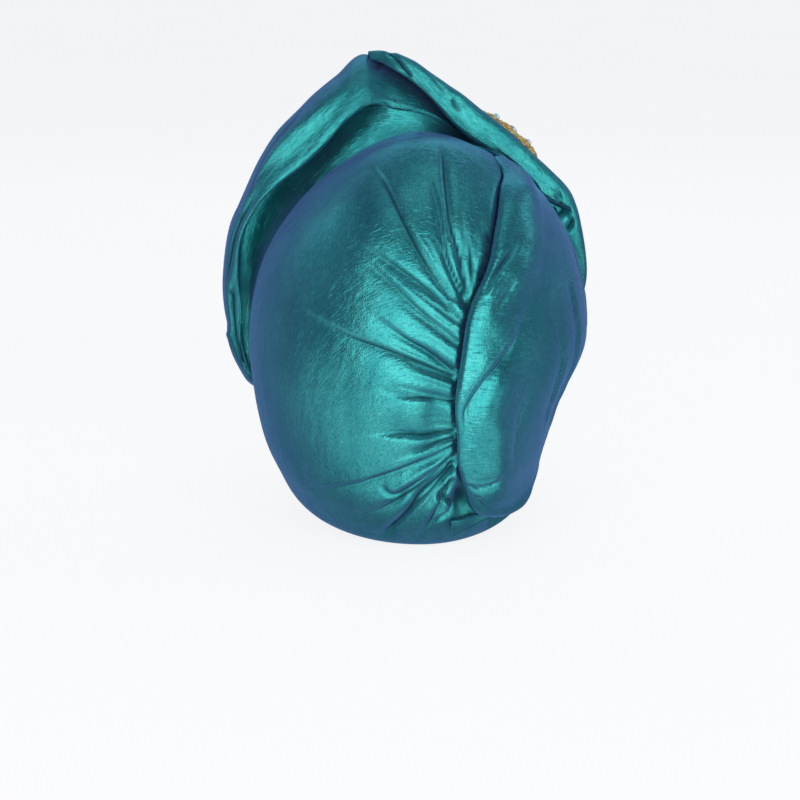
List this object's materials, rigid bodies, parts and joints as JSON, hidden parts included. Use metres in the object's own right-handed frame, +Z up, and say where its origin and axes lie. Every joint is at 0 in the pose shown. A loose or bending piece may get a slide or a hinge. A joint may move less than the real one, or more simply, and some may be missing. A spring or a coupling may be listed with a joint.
{
  "type": "turban cap",
  "caption": "Soft ready-tied turban cap: a gathered dome over the back of the head, a side wrap with a rolled edge, a raised pleated drape round the face and gold brooches.",
  "frame": {"origin": "middle of the head opening, midway between the temples, where a head holds the cap", "axes": "+Z up; the wearer faces -Y, so the gathered back of the dome faces +Y; +X is the wearer's left"},
  "size_m": [0.2088, 0.2147, 0.2507],
  "materials": {
    "crown_cloth": "smooth shot taffeta, teal with a dark blue cast at the edges",
    "side_wrap_cloth": "smooth shot taffeta, teal with a dark blue cast at the edges",
    "front_drape_cloth": "smooth shot taffeta, teal with a dark blue cast at the edges",
    "right_band_cloth": "smooth shot taffeta, teal with a dark blue cast at the edges",
    "nape_flap_cloth": "smooth shot taffeta, teal with a dark blue cast at the edges",
    "brooch_gold": "bright gold plating, beaded edge",
    "brooch_crystal": "clear cut crystal"
  },
  "bodies": {
    "root": {"crown": "crown_cloth", "side_wrap": "side_wrap_cloth", "front_drape": "front_drape_cloth", "right_band": "right_band_cloth", "nape_flap": "nape_flap_cloth", "brooch_upper": "brooch_gold", "brooch_lower": "brooch_gold", "brooch_upper_stone_1": "brooch_crystal", "brooch_upper_stone_2": "brooch_crystal", "brooch_upper_stone_3": "brooch_crystal", "brooch_lower_stone_1": "brooch_crystal", "brooch_lower_stone_2": "brooch_crystal", "brooch_lower_stone_3": "brooch_crystal"}
  },
  "joints": []
}
